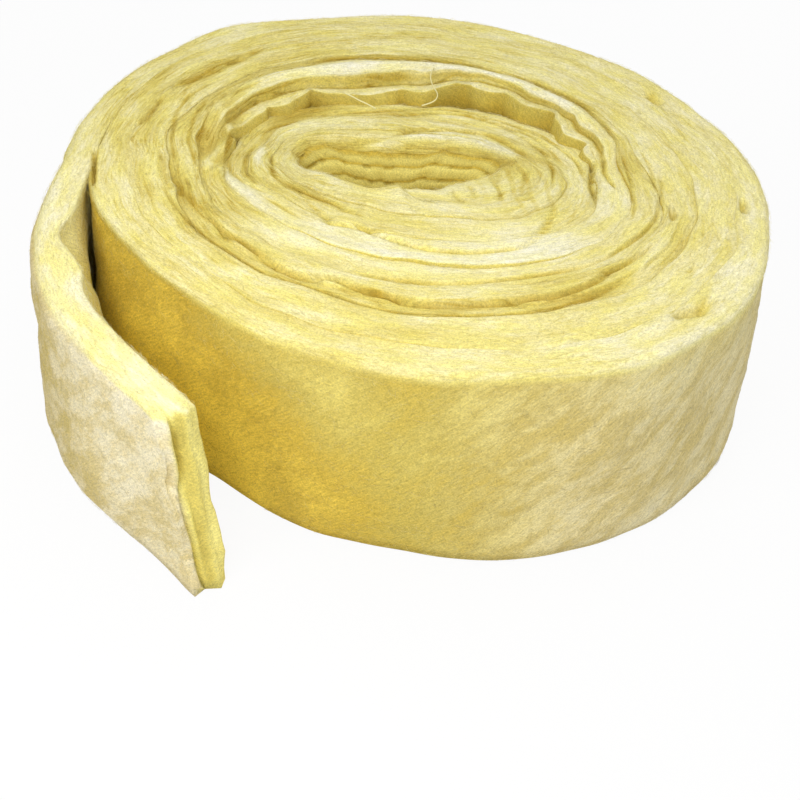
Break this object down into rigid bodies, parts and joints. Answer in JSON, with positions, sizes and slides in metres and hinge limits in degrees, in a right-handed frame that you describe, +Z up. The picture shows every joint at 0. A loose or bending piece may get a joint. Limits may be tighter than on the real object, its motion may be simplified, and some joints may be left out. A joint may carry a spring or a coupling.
{
  "type": "insulation roll",
  "caption": "Strip of glass wool insulation wound into an oval roll that stands on its end, with an open bore and a loose tail.",
  "frame": {"origin": "under the middle of the roll's overall box, on the floor that it stands on", "axes": "+Z up along the winding axis, +Y towards the back of the roll, away from the tail's tip, +X to the right with the tail at the front left"},
  "size_m": [0.255, 0.2624, 0.0782],
  "materials": {
    "glass_wool": "matt fibrous yellow wool"
  },
  "bodies": {
    "root": {"insulation_strip": "glass_wool"}
  },
  "joints": []
}
